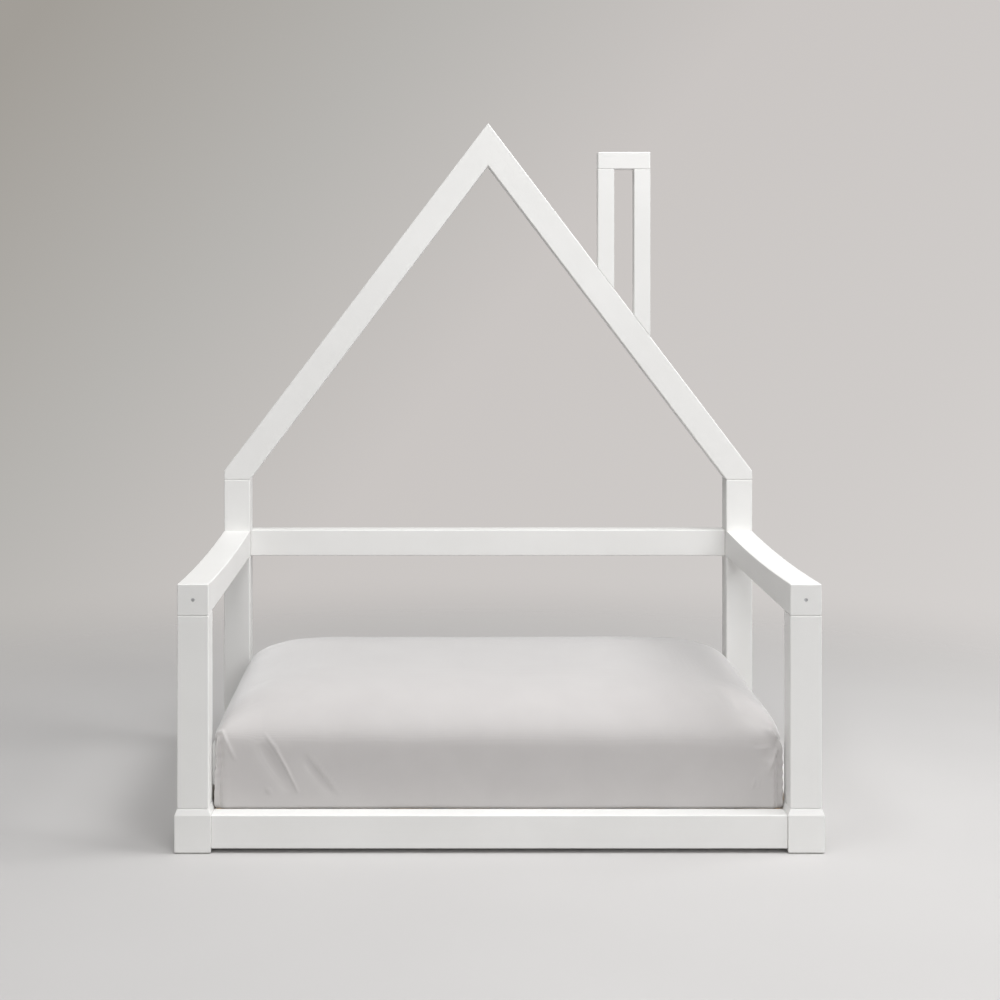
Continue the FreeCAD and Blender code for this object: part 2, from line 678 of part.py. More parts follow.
def bedding_outline(inset, height, grow):
    """A level outline of the mattress: a rectangle with round corners and slightly drawn-in sides."""
    half_x = value("mattress_length / 2") + grow - inset
    half_y = value("mattress_width / 2") + grow - inset
    corner = value("mattress_corner_round") + grow + CORNER_GROWTH * inset
    draw = value("mattress_side_draw")
    diagonal = corner * (1 - math.sqrt(0.5))

    def point(x, y):
        return FreeCAD.Vector(x, y, height)

    edges = []
    for sign_x, sign_y in ((1, 1), (-1, 1), (-1, -1), (1, -1)):
        corner_start = point(sign_x * half_x, sign_y * (half_y - corner))
        corner_middle = point(sign_x * (half_x - diagonal), sign_y * (half_y - diagonal))
        corner_end = point(sign_x * (half_x - corner), sign_y * half_y)
        if sign_x == sign_y:
            side_middle = point(0, sign_y * (half_y - draw))
            side_end = point(-sign_x * (half_x - corner), sign_y * half_y)
        else:
            corner_start, corner_end = corner_end, corner_start
            side_middle = point(sign_x * (half_x - draw), 0)
            side_end = point(sign_x * half_x, -sign_y * (half_y - corner))
        edges.append(Part.Arc(corner_start, corner_middle, corner_end).toShape())
        edges.append(Part.Arc(corner_end, side_middle, side_end).toShape())
    return Part.Wire(edges)


def bedding_form(low, side_top, grow):
    """The domed closed form of the mattress, or of its cover when it is grown by the cloth.

    low is its underside and side_top the height where its upright sides end and the dome starts.
    """
    bottom_round = value("mattress_bottom_round")
    half_width = value("mattress_width / 2")
    sections = []
    for degrees in (0, 45, 90):
        angle = math.radians(degrees)
        sections.append((bottom_round * (1 - math.sin(angle)), low + bottom_round * (1 - math.cos(angle))))
    for share in DOME_SHARES:
        rise = value("mattress_dome") * (1 - share ** DOME_POWER) ** (1 / DOME_ROOT)
        sections.append((half_width * (1 - share), side_top + rise))
    outlines = [bedding_outline(inset, height, grow) for inset, height in sections]
    return Part.makeLoft(outlines, True, True)


def make_bedding():
    """The mattress, and the fitted sheet that wraps it and turns in under its lower edge."""
    cloth = value("sheet_thickness")
    deck = value(DECK_TOP)
    mattress = doc.addObject("Part::Feature", "mattress")
    side_height = value("mattress_side_height")
    mattress.Shape = bedding_form(cloth, cloth + side_height, 0)
    cover = bedding_form(0, side_height + 2 * cloth, cloth)
    hem = value("sheet_hem_width")
    length, width = value("mattress_length") - 2 * hem, value("mattress_width") - 2 * hem
    opening = Part.makeBox(length, width, 2 * cloth, FreeCAD.Vector(-length / 2, -width / 2, -cloth))
    sheet_piece = doc.addObject("Part::Feature", "fitted_sheet")
    sheet_piece.Shape = cover.cut(mattress.Shape).cut(opening)
    for piece in (mattress, sheet_piece):
        piece.Placement = FreeCAD.Placement(FreeCAD.Vector(0, 0, deck), FreeCAD.Rotation())
        node(piece, piece.Name)


# ---------------------------------------------------------------- the whole bed


def make_bed():
    """Every sub-part of the bed."""
    corners = [(side, end) for end in (FRONT, BACK) for side in (LEFT, RIGHT)]
    for side, end in corners:
        make_pad(side, end)
    feet = {(side, end): make_foot(side, end) for side, end in corners}
    posts = {(side, end): make_post(side, end) for side, end in corners}
    rails = make_base_rails()
    arms = {side: make_arm(side) for side in (LEFT, RIGHT)}
    guard_rail = make_guard_rail()
    rafters = {side: make_rafter(side) for side in (LEFT, RIGHT)}
    join_base(rails, feet)
    join_posts(posts, feet)
    make_deck(rails)
    pin_arms(arms, posts)
    join_upper_frame(arms, guard_rail, posts)
    join_roof(rafters, posts)
    make_chimney(rafters[RIGHT])
    make_bedding()


def check_document():
    """Stop if any object failed, or if a sub-part has no sound shape."""
    for thing in doc.Objects:
        if "Invalid" in thing.State or "Error" in thing.State:
            raise RuntimeError(f"{thing.Label} failed: {thing.State}")
    for thing in nodes:
        if thing.Shape.isNull() or not thing.Shape.isValid():
            raise RuntimeError(f"{thing.Label} has no sound shape")


def write_nodes():
    """One STEP file for each sub-part, named after its label."""
    os.makedirs("parts", exist_ok=True)
    for thing in nodes:
        solids = thing.Shape.Solids
        shape = solids[0] if len(solids) == 1 else Part.Compound(solids)
        shape.exportStep(f"parts/{thing.Label}.step")
        print(f"{thing.Label}: {len(solids)} solid(s), {shape.Volume / 1000:.1f} cm3")


sheet = make_sheet()
make_bed()
doc.recompute()
check_document()
write_nodes()
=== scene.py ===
"""The looks of the house frame bed, in metres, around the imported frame.

The painted timber and the pine deck are the frame's own nodes with better materials. The mattress, its
fitted sheet and the fasteners whose heads show are pieces made here.
"""

import json
import math

import bmesh
import bpy
import numpy as np
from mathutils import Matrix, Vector, noise


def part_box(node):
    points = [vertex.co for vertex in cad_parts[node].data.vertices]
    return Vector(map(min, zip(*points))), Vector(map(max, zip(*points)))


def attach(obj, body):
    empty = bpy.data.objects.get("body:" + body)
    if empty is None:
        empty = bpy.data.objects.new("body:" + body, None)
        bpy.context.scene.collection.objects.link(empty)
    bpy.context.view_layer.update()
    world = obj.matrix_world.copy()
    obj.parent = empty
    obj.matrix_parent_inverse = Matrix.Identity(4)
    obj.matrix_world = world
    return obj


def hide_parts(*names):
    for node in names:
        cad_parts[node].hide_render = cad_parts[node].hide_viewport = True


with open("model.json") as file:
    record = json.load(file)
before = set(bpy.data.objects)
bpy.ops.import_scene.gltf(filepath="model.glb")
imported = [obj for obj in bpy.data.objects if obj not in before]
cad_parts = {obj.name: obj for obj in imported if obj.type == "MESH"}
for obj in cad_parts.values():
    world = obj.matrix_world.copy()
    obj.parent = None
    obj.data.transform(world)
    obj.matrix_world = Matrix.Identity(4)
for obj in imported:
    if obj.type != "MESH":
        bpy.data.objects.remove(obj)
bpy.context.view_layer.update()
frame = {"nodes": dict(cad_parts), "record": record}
nodes = frame["nodes"]
scene = bpy.context.scene

# The outer form of the mattress in its sheet: upright sides, and on them a dome with square shoulders. Along
# the edge the dome follows the outline; from HIP_REACH inwards its own corners are rounder.
SHEET_LOW, SHEET_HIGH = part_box("fitted_sheet")
SIDE_HEIGHT = 0.106
DOME = SHEET_HIGH.z - SHEET_LOW.z - SIDE_HEIGHT
DOME_POWER = 3
DOME_ROOT = 2.7
HIP_POWER = 7
HIP_REACH = 0.060
BOTTOM_ROUND = 0.006
CORNER_ROUND = 0.022
SIDE_DRAW = 0.001

# how far the front edge has settled, how far back that reaches, and how close to the corners it fades out
SAG_DEPTH = 0.010
SAG_WIDTH = 0.050
SAG_END = 0.080

# the sheet: how far it stands off that form, its hem, and the most that it swells in the simulation
SHEET_GROWTH = 0.001
HEM = 0.080
SWELL_LIMIT = 0.002
SWELL_PRESSURE = 4
SWELL_FRAMES = 20
UNEVEN_SIZE = 0.11
UNEVEN_HEIGHT = 0.0012
LOWEST_CLOTH = 0.0003

# the mattress inside the sheet: how much smaller it is, how far it lies above the sheet's underside, and
# the sewn channels of its quilting
CORE_INSET = 0.006
CORE_CLEARANCE = 0.001
QUILT_SPACING = 0.090
QUILT_WIDTH = 0.007
QUILT_DEPTH = 0.005

# the mesh of both: a band of this width round the edge, then fine and coarse spacing
EDGE_BAND = 0.040
EDGE_STEPS = 14
FINE_REACH = 0.120
FINE_STEP = 0.004
COARSE_STEP = 0.010

# lengths too short to matter, which keep divisions and comparisons safe
TINY = 1e-9
WELD = 1e-6
SAME_RADIUS = 1e-5


# ---------------------------------------------------------------- materials

def new_material(name, roughness):
    """An empty material with its nodes, links and shader."""
    material = bpy.data.materials.new(name)
    material.use_nodes = True
    tree = material.node_tree
    shader = tree.nodes["Principled BSDF"]
    shader.inputs["Roughness"].default_value = roughness
    return material, tree, shader


def coordinates(tree, scale=(1, 1, 1), turn=(0, 0, 0)):
    """Places on the object, turned and then stretched."""
    place = tree.nodes.new("ShaderNodeTexCoord")
    turned = tree.nodes.new("ShaderNodeMapping")
    turned.inputs["Rotation"].default_value = turn
    stretched = tree.nodes.new("ShaderNodeMapping")
    stretched.inputs["Scale"].default_value = scale
    tree.links.new(place.outputs["Object"], turned.inputs["Vector"])
    tree.links.new(turned.outputs["Vector"], stretched.inputs["Vector"])
    return stretched.outputs["Vector"]


def noise_texture(tree, vector, scale, detail=3, distortion=0):
    """Cloudy noise as a factor from 0 to 1."""
    texture = tree.nodes.new("ShaderNodeTexNoise")
    texture.inputs["Scale"].default_value = scale
    texture.inputs["Detail"].default_value = detail
    texture.inputs["Distortion"].default_value = distortion
    tree.links.new(vector, texture.inputs["Vector"])
    return texture.outputs["Fac"]


def ramp(tree, factor, stops):
    """Colours over a factor: stops are (place, colour)."""
    colours = tree.nodes.new("ShaderNodeValToRGB")
    elements = colours.color_ramp.elements
    while len(elements) < len(stops):
        elements.new(0.5)
    for element, (position, colour) in zip(elements, stops):
        element.position = position
        element.color = (*colour, 1)
    tree.links.new(factor, colours.inputs["Fac"])
    return colours.outputs["Color"]


def remap(tree, factor, low, high, start=0, end=1, curve="LINEAR"):
    """A factor that runs from start to end, turned into a number between low and high."""
    span = tree.nodes.new("ShaderNodeMapRange")
    span.interpolation_type = curve
    span.inputs["From Min"].default_value = start
    span.inputs["From Max"].default_value = end
    span.inputs["To Min"].default_value = low
    span.inputs["To Max"].default_value = high
    tree.links.new(factor, span.inputs["Value"])
    return span.outputs["Result"]


def combined(tree, operation, first, second):
    """The sum, product or maximum of two factors."""
    node = tree.nodes.new("ShaderNodeMath")
    node.operation = operation
    tree.links.new(first, node.inputs[0])
    tree.links.new(second, node.inputs[1])
    return node.outputs["Value"]


def bump(tree, height, depth, strength, below=None):
    """Relief of the given depth in metres, on top of another relief."""
    relief = tree.nodes.new("ShaderNodeBump")
    relief.inputs["Strength"].default_value = strength
    relief.inputs["Distance"].default_value = depth
    tree.links.new(height, relief.inputs["Height"])
    if below is not None:
        tree.links.new(below, relief.inputs["Normal"])
    return relief.outputs["Normal"]


def show_between(tree, factor, first, second, output):
    """Sends two shaders to the output: the first where the factor is 0, the second where it is 1."""
    mixed = tree.nodes.new("ShaderNodeMixShader")
    tree.links.new(factor, mixed.inputs["Fac"])
    tree.links.new(first, mixed.inputs[1])
    tree.links.new(second, mixed.inputs[2])
    tree.links.new(mixed.outputs["Shader"], tree.nodes[output].inputs["Surface"])


def painted_wood(name, turn):
    """White satin paint over solid wood, whose grain runs along X after the turn."""
    material, tree, shader = new_material(name, roughness=0.42)
    plain = coordinates(tree)
    along_grain = coordinates(tree, scale=(3, 70, 70), turn=turn)
    cloud = noise_texture(tree, plain, scale=5, detail=4)
    grain = noise_texture(tree, along_grain, scale=4, detail=5, distortion=0.4)
    peel = noise_texture(tree, plain, scale=900, detail=2)
    colour = ramp(tree, cloud, [(0.3, (0.835, 0.832, 0.818)), (0.7, (0.875, 0.872, 0.860))])
    tree.links.new(colour, shader.inputs["Base Color"])
    tree.links.new(remap(tree, grain, 0.36, 0.50), shader.inputs["Roughness"])
    relief = bump(tree, grain, depth=0.0003, strength=0.30)
    relief = bump(tree, peel, depth=0.00006, strength=0.35, below=relief)
    tree.links.new(relief, shader.inputs["Normal"])
    return material


def growth_rings(tree, plank):
    """The dark and light bands of a plank's growth rings, round an axis along its grain."""
    rings = tree.nodes.new("ShaderNodeTexWave")
    rings.wave_type = "RINGS"
    rings.rings_direction = "X"
    rings.inputs["Scale"].default_value = 1.1
    rings.inputs["Distortion"].default_value = 3.0
    rings.inputs["Detail"].default_value = 2
    rings.inputs["Detail Scale"].default_value = 0.8
    tree.links.new(plank, rings.inputs["Vector"])
    return rings.outputs["Fac"]


def bare_pine(name, turn):
    """Planed pine, whose grain runs along X after the turn: growth rings, and fine fibres over them."""
    material, tree, shader = new_material(name, roughness=0.62)
    plank = coordinates(tree, scale=(0.6, 10, 10), turn=turn)
    along_grain = coordinates(tree, scale=(4, 160, 160), turn=turn)
    wander = noise_texture(tree, plank, scale=1.6)
    fibre = noise_texture(tree, along_grain, scale=5, detail=4)
    mixed = tree.nodes.new("ShaderNodeMix")
    mixed.data_type = "FLOAT"
    mixed.inputs["Factor"].default_value = 0.35
    tree.links.new(growth_rings(tree, plank), mixed.inputs["A"])
    tree.links.new(fibre, mixed.inputs["B"])
    shade = combined(tree, "MULTIPLY", mixed.outputs["Result"], remap(tree, wander, 0.75, 1.25))
    colour = ramp(tree, shade, [
        (0.15, (0.74, 0.56, 0.35)),
        (0.55, (0.66, 0.46, 0.26)),
        (0.85, (0.50, 0.31, 0.15)),
    ])
    tree.links.new(colour, shader.inputs["Base Color"])
    tree.links.new(bump(tree, fibre, depth=0.0003, strength=0.4), shader.inputs["Normal"])
    return material


def beech():
    """Beech with its short dark flecks, for the dowels."""
    material, tree, shader = new_material("beech_dowel", roughness=0.6)
    flecks = noise_texture(tree, coordinates(tree), scale=420, distortion=0.6)
    colour = ramp(tree, flecks, [(0.3, (0.48, 0.29, 0.15)), (0.6, (0.62, 0.41, 0.23))])
    tree.links.new(colour, shader.inputs["Base Color"])
    tree.links.new(bump(tree, flecks, depth=0.0002, strength=0.4), shader.inputs["Normal"])
    return material


def zinc():
    """Bright zinc plating: cloudy in colour and shine, over a fine grain."""
    material, tree, shader = new_material("zinc_steel", roughness=0.32)
    shader.inputs["Metallic"].default_value = 1
    cloud = noise_texture(tree, coordinates(tree), scale=320, detail=4)
    grain = noise_texture(tree, coordinates(tree), scale=2500)
    colour = ramp(tree, cloud, [(0.3, (0.50, 0.51, 0.53)), (0.7, (0.66, 0.67, 0.69))])
    tree.links.new(colour, shader.inputs["Base Color"])
    tree.links.new(remap(tree, cloud, 0.24, 0.42), shader.inputs["Roughness"])
    tree.links.new(bump(tree, grain, depth=0.00003, strength=0.4), shader.inputs["Normal"])
    return material


def felt():
    """Pressed felt: a mat of short fibres."""
    material, tree, shader = new_material("felt", roughness=0.95)
    shader.inputs["Sheen Weight"].default_value = 0.5
    fibres = noise_texture(tree, coordinates(tree), scale=1400, detail=6, distortion=1.5)
    colour = ramp(tree, fibres, [(0.3, (0.52, 0.51, 0.48)), (0.7, (0.70, 0.69, 0.66))])
    tree.links.new(colour, shader.inputs["Base Color"])
    tree.links.new(bump(tree, fibres, depth=0.0006, strength=0.8), shader.inputs["Normal"])
    return material


def thread_bands(tree, place, direction, thread):
    """Soft bands across one direction, one for each thread of the given width."""
    bands = tree.nodes.new("ShaderNodeTexWave")
    bands.bands_direction = direction
    # the bands repeat 20 / (2 pi) times per metre at a scale of one
    bands.inputs["Scale"].default_value = 2 * math.pi / 20 / thread
    bands.inputs["Distortion"].default_value = 0.6
    bands.inputs["Detail"].default_value = 1
    tree.links.new(place, bands.inputs["Vector"])
    return bands.outputs["Fac"]


def woven(name, light, dark, thread, sheen):
    """A plain weave: threads of the given width cross along all three directions of the object."""
    material, tree, shader = new_material(name, roughness=0.88)
    shader.inputs["Sheen Weight"].default_value = sheen
    shader.inputs["Sheen Roughness"].default_value = 0.45
    shader.inputs["Specular IOR Level"].default_value = 0.25
    place = coordinates(tree)
    weave = thread_bands(tree, place, "X", thread)
    for direction in "YZ":
        weave = combined(tree, "ADD", weave, thread_bands(tree, place, direction, thread))
    cloud = noise_texture(tree, place, scale=14, detail=6)
    slubs = noise_texture(tree, place, scale=700, detail=2)
    colour = ramp(tree, cloud, [(0.25, dark), (0.75, light)])
    tree.links.new(colour, shader.inputs["Base Color"])
    relief = bump(tree, weave, depth=0.00012, strength=0.5)
    relief = bump(tree, slubs, depth=0.00015, strength=0.4, below=relief)
    tree.links.new(relief, shader.inputs["Normal"])
    return material


# ---------------------------------------------------------------- meshes

def new_object(name, points, faces, material=None, smooth=True):
    """An object with a mesh of its own, in the scene."""
    mesh = bpy.data.meshes.new(name)
    mesh.from_pydata([tuple(p) for p in points], [], faces)
    if material is not None:
        mesh.materials.append(material)
    for polygon in mesh.polygons:
        polygon.use_smooth = smooth
    made = bpy.data.objects.new(name, mesh)
    scene.collection.objects.link(made)
    return made


def lattice_lines(half):
    """Places of the lattice's lines from -half to half: closest at the ends, where the dome is steep, then
    close together, where the cloth creases, and further apart in the middle."""
    outer = half - EDGE_BAND * (np.arange(EDGE_STEPS) / EDGE_STEPS) ** 2
    inner = half - EDGE_BAND
    middle = inner - FINE_REACH
    coarse = np.linspace(-middle, middle, round(2 * middle / COARSE_STEP) + 1)
    fine = np.linspace(middle, inner, round(FINE_REACH / FINE_STEP) + 1)[1:]
    upper = np.concatenate([fine, outer[::-1]])
    return np.concatenate([-upper[::-1], coarse, upper])


def shell_lattice(across, along, up):
    """The points of a box lattice's surface, as indices, and the quads between them."""
    index, quads = {}, []
    first_way = ((0, 0), (1, 0), (1, 1), (0, 1))
    other_way = ((0, 0), (0, 1), (1, 1), (1, 0))

    def corner(*place):
        return index.setdefault(place, len(index))

    for i in range(across):
        for j in range(along):
            quads.append([corner(i + a, j + b, up) for a, b in first_way])
            quads.append([corner(i + a, j + b, 0) for a, b in other_way])
    for k in range(up):
        for i in range(across):
            quads.append([corner(i + a, 0, k + b) for a, b in first_way])
            quads.append([corner(i + a, along, k + b) for a, b in other_way])
        for j in range(along):
            quads.append([corner(0, j + a, k + b) for a, b in other_way])
            quads.append([corner(across, j + a, k + b) for a, b in first_way])
    return list(index), quads


def dome_rise(x, y, inset, half_x, half_y):
    """The dome's height above the upright sides: with the outline's corners at the edge, and with corners of
    its own, rounded off, further in."""
    edge_share = 1 - inset / half_y
    share_x = np.clip((np.abs(x) - (half_x - half_y)) / half_y, 0, 1)
    round_share = (share_x ** HIP_POWER + (np.abs(y) / half_y) ** HIP_POWER) ** (1 / HIP_POWER)
    further_in = np.clip(inset / HIP_REACH, 0, 1)
    share = edge_share + (round_share - edge_share) * further_in
    return DOME * np.clip(1 - share ** DOME_POWER, 0, 1) ** (1 / DOME_ROOT)


def rounded_corners(x, y, inset, half_x, half_y):
    """The same places with round corners in plan: each square of a corner's lattice becomes an arc."""
    over_x = np.abs(x) - (half_x - CORNER_ROUND)
    over_y = np.abs(y) - (half_y - CORNER_ROUND)
    in_corner = (over_x > 0) & (over_y > 0)
    shrink = (CORNER_ROUND - inset) / np.maximum(np.hypot(over_x, over_y), TINY)
    round_x = np.where(in_corner, np.sign(x) * (half_x - CORNER_ROUND + over_x * shrink), x)
    round_y = np.where(in_corner, np.sign(y) * (half_y - CORNER_ROUND + over_y * shrink), y)
    return round_x, round_y


def bedding_form(grow):
    """The domed closed form of the mattress's cover, made larger by grow: points, quads, and for each
    point its inset from the outline in plan."""
    half_x = SHEET_HIGH.x + grow
    half_y = SHEET_HIGH.y + grow
    low = SHEET_LOW.z - grow
    side_top = SHEET_LOW.z + SIDE_HEIGHT + grow
    lines_x = lattice_lines(half_x)
    lines_y = lattice_lines(half_y)
    rows = round((side_top - low - BOTTOM_ROUND) / FINE_STEP)
    levels = np.linspace(low + BOTTOM_ROUND, side_top, rows + 1)
    cells, quads = shell_lattice(len(lines_x) - 1, len(lines_y) - 1, rows)
    cells = np.array(cells)
    x, y = lines_x[cells[:, 0]], lines_y[cells[:, 1]]
    inset = np.minimum(half_x - np.abs(x), half_y - np.abs(y))

    # the dome on top, the rounded lower edge underneath, and the upright sides between them
    top = side_top + dome_rise(x, y, inset, half_x, half_y)
    bottom_inset = np.clip(inset, 0, BOTTOM_ROUND)
    bottom = low + BOTTOM_ROUND - np.sqrt(BOTTOM_ROUND ** 2 - (BOTTOM_ROUND - bottom_inset) ** 2)
    z = np.where(cells[:, 2] == rows, top, np.where(cells[:, 2] == 0, bottom, levels[cells[:, 2]]))

    # the front edge has settled a little, between the corners
    front = np.exp(-((y + half_y) / SAG_WIDTH) ** 2) * np.clip((half_x - np.abs(x)) / SAG_END, 0, 1)
    z = z - SAG_DEPTH * front * np.clip((z - low) / SIDE_HEIGHT, 0, 1)

    # the sides are drawn in between the rounded corners
    x, y = rounded_corners(x, y, inset, half_x, half_y)
    drawn_x = x * (1 - SIDE_DRAW / half_x * (1 - (y / half_y) ** 2))
    drawn_y = y * (1 - SIDE_DRAW / half_y * (1 - (x / half_x) ** 2))
    return np.stack([drawn_x, drawn_y, z], axis=1), quads, inset


def point_normals(points, quads):
    """The mean normal at each point of a quad mesh."""
    quads = np.array(quads)
    across = points[quads[:, 2]] - points[quads[:, 0]]
    along = points[quads[:, 3]] - points[quads[:, 1]]
    flat = np.cross(across, along)
    normals = np.zeros_like(points)
    for corner in range(4):
        np.add.at(normals, quads[:, corner], flat)
    return normals / np.maximum(np.linalg.norm(normals, axis=1, keepdims=True), 1e-12)


# ---------------------------------------------------------------- fitted sheet

# Folds of the sheet as (line, width, height), in metres. Those of the front are lines of (x, z), and those
# of the top are lines of (x, y).
FRONT_FOLDS = [
    ([(-0.486, 0.170), (-0.480, 0.188), (-0.470, 0.192), (-0.460, 0.170), (-0.448, 0.147)], 0.0030, 0.0030),
    ([(-0.474, 0.120), (-0.470, 0.178)], 0.0080, -0.0035),
    ([(-0.397, 0.188), (-0.380, 0.166), (-0.360, 0.130), (-0.341, 0.092)], 0.0024, 0.0026),
    ([(-0.408, 0.176), (-0.388, 0.146), (-0.352, 0.090)], 0.0120, -0.0034),
    ([(-0.321, 0.152), (-0.291, 0.114), (-0.272, 0.088)], 0.0024, 0.0016),
    ([(-0.330, 0.146), (-0.300, 0.108), (-0.282, 0.086)], 0.0080, -0.0018),
    ([(-0.394, 0.098), (-0.386, 0.088)], 0.0040, 0.0012),
    ([(0.484, 0.184), (0.470, 0.151), (0.457, 0.122)], 0.0026, 0.0030),
    ([(0.476, 0.184), (0.454, 0.140)], 0.0110, -0.0034),
    ([(0.438, 0.118), (0.433, 0.098)], 0.0030, 0.0012),
    ([(0.447, 0.122), (0.441, 0.096)], 0.0030, 0.0010),
]
TOP_FOLDS = [
    ([(0.484, -0.302), (0.442, -0.280), (0.417, -0.256), (0.394, -0.190)], 0.0200, -0.0075),
    ([(0.484, -0.306), (0.452, -0.298)], 0.0040, 0.0030),
    ([(-0.484, -0.300), (-0.440, -0.262), (-0.400, -0.230)], 0.0200, -0.0020),
    ([(0.480, 0.300), (0.430, 0.250)], 0.0200, -0.0026),
    ([(-0.480, 0.300), (-0.420, 0.240)], 0.0220, -0.0030),
]

# a fold fades out towards its ends, and keeps a little height at them
FOLD_END = 0.03
FOLD_TAPER = 0.6

# the gathers at each corner seam, one above another, and how far in from the corner of the outline they
# start, as a share of the corner's radius
GATHERS = 4
GATHER_INSET = 0.3
GATHER_LOW = 0.020
GATHER_SPACING = 0.028
GATHER_WIDTH = 0.0060

# the corner seams as (width, height): a ridge of cloth, the furrow around it and the puckers along it
SEAM_RIDGE = (0.0024, 0.0150)
SEAM_FURROW = (0.0070, 0.0042)
SEAM_PUCKER = (0.0120, 0.0006)
PUCKER_LENGTH = 0.0085
SEAM_HEIGHT = 0.122


def along_line(places, line, width):
    """How much a fold that follows a line acts at each place: 1 on its crest, and fading out sideways
    within its width and towards its ends."""
    lengths = [math.dist(a, b) for a, b in zip(line, line[1:])]
    total = sum(lengths)
    effect = np.zeros(len(places))
    run = 0
    for start, end, length in zip(line, line[1:], lengths):
        start, end = np.array(start), np.array(end)
        share = np.clip((places - start) @ (end - start) / length ** 2, 0, 1)
        gap = np.linalg.norm(places - (start + share[:, None] * (end - start)), axis=1)
        way = (run + share * length) / total
        taper = np.sin(np.pi * np.clip(way, FOLD_END, 1 - FOLD_END)) ** FOLD_TAPER
        effect = np.maximum(effect, np.exp(-(gap / width) ** 2) * taper)
        run += length
    return effect


def corner_folds(side, end):
    """The short gathers that run out from one corner seam over the side, and at the back over the back too,
    as lines of (x, y, z). Remainders make them uneven."""
    folds = []
    seam_x = side * (SHEET_HIGH.x - CORNER_ROUND * GATHER_INSET)
    seam_y = end * (SHEET_HIGH.y - CORNER_ROUND * GATHER_INSET)
    for step in range(GATHERS):
        height = SHEET_LOW.z + GATHER_LOW + GATHER_SPACING * step
        reach = 0.040 + 0.012 * ((step * 7 + side + 2 * end) % 4)
        fall = 0.012 + 0.004 * ((step + end) % 3)
        depth = 0.0012 + 0.0004 * ((step + side) % 3)
        seam = (seam_x, seam_y, height)
        over_side = [seam, (side * SHEET_HIGH.x, seam_y - end * reach, height - fall)]
        over_back = [seam, (seam_x - side * reach, end * SHEET_HIGH.y, height - fall)]
        folds.append((over_side, GATHER_WIDTH, depth))
        if end > 0:
            folds.append((over_back, GATHER_WIDTH, depth))
    return folds


def fold_relief(points):
    """How far all the folds lift the cloth at each point."""
    relief = np.zeros(len(points))
    at_front = points[:, 1] < -SHEET_HIGH.y + EDGE_BAND
    on_top = points[:, 2] > SHEET_LOW.z + SIDE_HEIGHT
    for line, width, height in FRONT_FOLDS:
        relief += along_line(points[:, [0, 2]], line, width) * height * at_front
    for line, width, height in TOP_FOLDS:
        relief += along_line(points[:, [0, 1]], line, width) * height * on_top
    for side in (-1, 1):
        for end in (-1, 1):
            for line, width, height in corner_folds(side, end):
                relief += along_line(points, line, width) * height
    return relief


def seam_relief(points):
    """The vertical seams at the corners: the cloth stands out in a narrow ridge between two furrows, with
    small puckers along it. They fade out at both ends."""
    seam_x = SHEET_HIGH.x - CORNER_ROUND * (1 - math.sqrt(0.5))
    seam_y = SHEET_HIGH.y - CORNER_ROUND * (1 - math.sqrt(0.5))
    gap = np.hypot(np.abs(points[:, 0]) - seam_x, np.abs(points[:, 1]) - seam_y)

    def mound(width, height):
        return np.exp(-(gap / width) ** 2) * height

    puckers = mound(*SEAM_PUCKER) * np.sin(points[:, 2] / PUCKER_LENGTH * math.pi)
    rise = (points[:, 2] - SHEET_LOW.z) / SEAM_HEIGHT
    fade = np.clip((1.0 - rise) / 0.15, 0, 1) * np.clip(rise / 0.05, 0, 1)
    return (mound(*SEAM_RIDGE) - mound(*SEAM_FURROW) + puckers) * fade


def soft_unevenness(points, size, height):
    """A slow unevenness, the same at each run."""
    return np.array([noise.noise(Vector(p) / size) for p in points]) * height


def inflate(points, quads):
    """The form after a short cloth simulation with inner pressure: every point keeps at most SWELL_LIMIT of
    its move, and none of its move into the mattress."""
    pad = new_object("pad_to_inflate", points, quads)
    cloth = pad.modifiers.new("cloth", "CLOTH").settings
    cloth.quality = 5
    cloth.mass = 0.2
    cloth.tension_stiffness = 12
    cloth.compression_stiffness = 12
    cloth.shear_stiffness = 4
    cloth.bending_stiffness = 0.1
    cloth.use_pressure = True
    cloth.uniform_pressure_force = SWELL_PRESSURE
    cloth.effector_weights.gravity = 0
    for step in range(1, SWELL_FRAMES + 1):
        scene.frame_set(step)
    settled = pad.evaluated_get(bpy.context.evaluated_depsgraph_get()).to_mesh()
    moved = np.array([v.co for v in settled.vertices]) - points
    normals = point_normals(points, quads)
    outwards_move = (moved * normals).sum(axis=1, keepdims=True)
    moved += normals * (np.maximum(outwards_move, 0) - outwards_move)
    distance = np.linalg.norm(moved, axis=1, keepdims=True)
    moved *= np.minimum(1, SWELL_LIMIT / np.maximum(distance, TINY))
    bpy.data.objects.remove(pad, do_unlink=True)
    scene.frame_set(1)
    return points + moved


def subdivided(points, quads):
    """The points and faces of a mesh after one smooth subdivision."""
    coarse = new_object("mesh_to_divide", points, quads)
    coarse.modifiers.new("divide", "SUBSURF").levels = 1
    fine = coarse.evaluated_get(bpy.context.evaluated_depsgraph_get()).to_mesh()
    points = np.array([v.co for v in fine.vertices])
    faces = [list(face.vertices) for face in fine.polygons]
    bpy.data.objects.remove(coarse, do_unlink=True)
    return points, faces


def cut_to_hem(points, quads):
    """The cloth with its underside cut away inside the hem."""
    low = points[:, 2] < SHEET_LOW.z + BOTTOM_ROUND
    inner = (np.abs(points[:, 0]) < SHEET_HIGH.x - HEM) & (np.abs(points[:, 1]) < SHEET_HIGH.y - HEM)
    kept = [quad for quad in quads if not all(low[v] and inner[v] for v in quad)]
    used = sorted({v for quad in kept for v in quad})
    order = {v: n for n, v in enumerate(used)}
    return points[used], [[order[v] for v in quad] for quad in kept]


